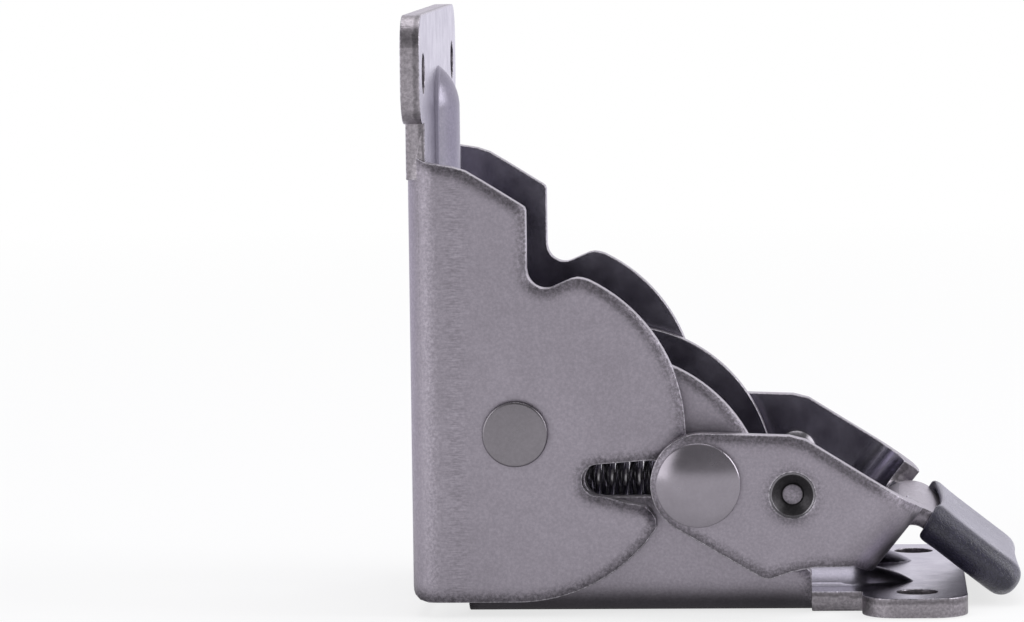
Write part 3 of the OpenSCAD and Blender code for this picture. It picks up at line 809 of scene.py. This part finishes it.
def addStage(look):
    bm = bmesh.new()
    bmesh.ops.create_grid(bm, x_segments=2, y_segments=2, size=look["half"])
    bmesh.ops.translate(bm, verts=bm.verts, vec=(0, 0, -look["drop"]))
    mat, tree, links = newMaterial("paleFloor")
    path = tree.new("ShaderNodeLightPath").outputs
    coords = tree.new("ShaderNodeTexCoord").outputs["Object"]
    away = vectorNode(tree, links, "LENGTH", coords, output="Value")
    # distance from the foot of the object, where a painted shadow darkens what the metal sees of
    # the floor
    fromFoot = vectorNode(tree, links, "SUBTRACT", coords, look["foot"])
    fromFoot = vectorNode(tree, links, "ABSOLUTE", fromFoot)
    fromFoot = vectorNode(tree, links, "SUBTRACT", fromFoot, look["footHalf"])
    fromFoot = vectorNode(tree, links, "MAXIMUM", fromFoot, (0, 0, 0))
    fromFoot = vectorNode(tree, links, "LENGTH", fromFoot, output="Value")
    # white far off, and near the object a pale floor that keeps its shadow
    seen = mathNode(tree, links, "MAXIMUM", path["Is Camera Ray"], path["Is Transmission Ray"])
    seen = mathNode(tree, links, "MULTIPLY", seen, ramp(tree, links, away, look["whiteFrom"]))
    diffuse = tree.new("ShaderNodeBsdfDiffuse")
    diffuse.inputs["Color"].default_value = look["colour"]
    glow = tree.new("ShaderNodeEmission")
    glow.inputs["Color"].default_value = (1, 1, 1, 1)
    # as metal sees it: a painted shadow at the foot, a little lilac behind the object
    depth = tree.new("ShaderNodeSeparateXYZ")
    links.new(coords, depth.inputs[0])
    tint = ramp(tree, links, depth.outputs["Y"], look["behindTint"])
    tone = ramp(tree, links, fromFoot, look["footShadowTone"])
    mirrored = tree.new("ShaderNodeEmission")
    links.new(mixColour(tree, links, 1.0, tone, tint, "MULTIPLY"), mirrored.inputs["Color"])
    pale = mixShader(tree, links, seen, diffuse.outputs[0], glow.outputs[0])
    floorShader = mixShader(tree, links, path["Is Glossy Ray"], pale, mirrored.outputs[0])
    outputOf(tree, links, floorShader)
    floor = makeObject("floor", bm, [mat], smooth=False)


worldLook = {
    # what metal sees, by height over the horizon, on the camera's side and behind the object
    "ahead": [(0.0, 1.0), (0.1, 0.95), (0.2, 0.3), (0.6, 0.26), (1.0, 0.42)],
    "behind": [(0.0, (1.06, 1.03, 1.13)), (0.35, (1.06, 1.03, 1.13)), (0.7, 0.7), (1.0, 0.42)],
    "turnOver": (1.4, 0.4),
    "soft": (0.62, 0.62, 0.64),
}


def addWorld(look):
    world = bpy.data.worlds.new("studio")
    bpy.context.scene.world = world
    world.use_nodes = True
    tree, links = world.node_tree.nodes, world.node_tree.links
    tree.clear()
    path = tree.new("ShaderNodeLightPath").outputs
    split = tree.new("ShaderNodeSeparateXYZ")
    links.new(tree.new("ShaderNodeTexCoord").outputs["Generated"], split.inputs[0])
    ahead = ramp(tree, links, split.outputs["Z"], look["ahead"])
    behind = ramp(tree, links, split.outputs["Z"], look["behind"])
    facing = mathNode(tree, links, "MULTIPLY_ADD", split.outputs["Y"], *look["turnOver"])
    facing.node.use_clamp = True
    glossy = mixColour(tree, links, facing, ahead, behind)
    seen = mathNode(tree, links, "MAXIMUM", path["Is Camera Ray"], path["Is Transmission Ray"])
    soft = mixColour(tree, links, path["Is Glossy Ray"], look["soft"], glossy)
    back = tree.new("ShaderNodeBackground")
    links.new(mixColour(tree, links, seen, soft, (1.0, 1.0, 1.0)), back.inputs["Color"])
    outputOf(tree, links, back.outputs[0], "ShaderNodeOutputWorld")


lampLook = {
    "keyLeft": {"spot": (-0.95, -0.7, 0.5), "size": (0.9, 0.9), "watts": 4.5},
    "sideRight": {"spot": (0.95, -0.1, 0.5), "size": (0.5, 0.7), "watts": 4.0},
    "above": {"spot": (0.05, 0.25, 1.05), "size": (0.8, 0.8), "watts": 3.5},
}
lampTarget = Vector((0.02, 0, 0.035))


def addLamp(name, look):
    data = bpy.data.lights.new(name, "AREA")
    data.shape = "RECTANGLE"
    data.size, data.size_y = look["size"]
    data.energy = look["watts"]
    lamp = bpy.data.objects.new(name, data)
    lamp.location = look["spot"]
    lamp.rotation_euler = (lampTarget - lamp.location).to_track_quat("-Z", "Y").to_euler()
    bpy.context.scene.collection.objects.link(lamp)


addStage(stageLook)
addWorld(worldLook)
for name, look in lampLook.items():
    addLamp(name, look)

print("finish")
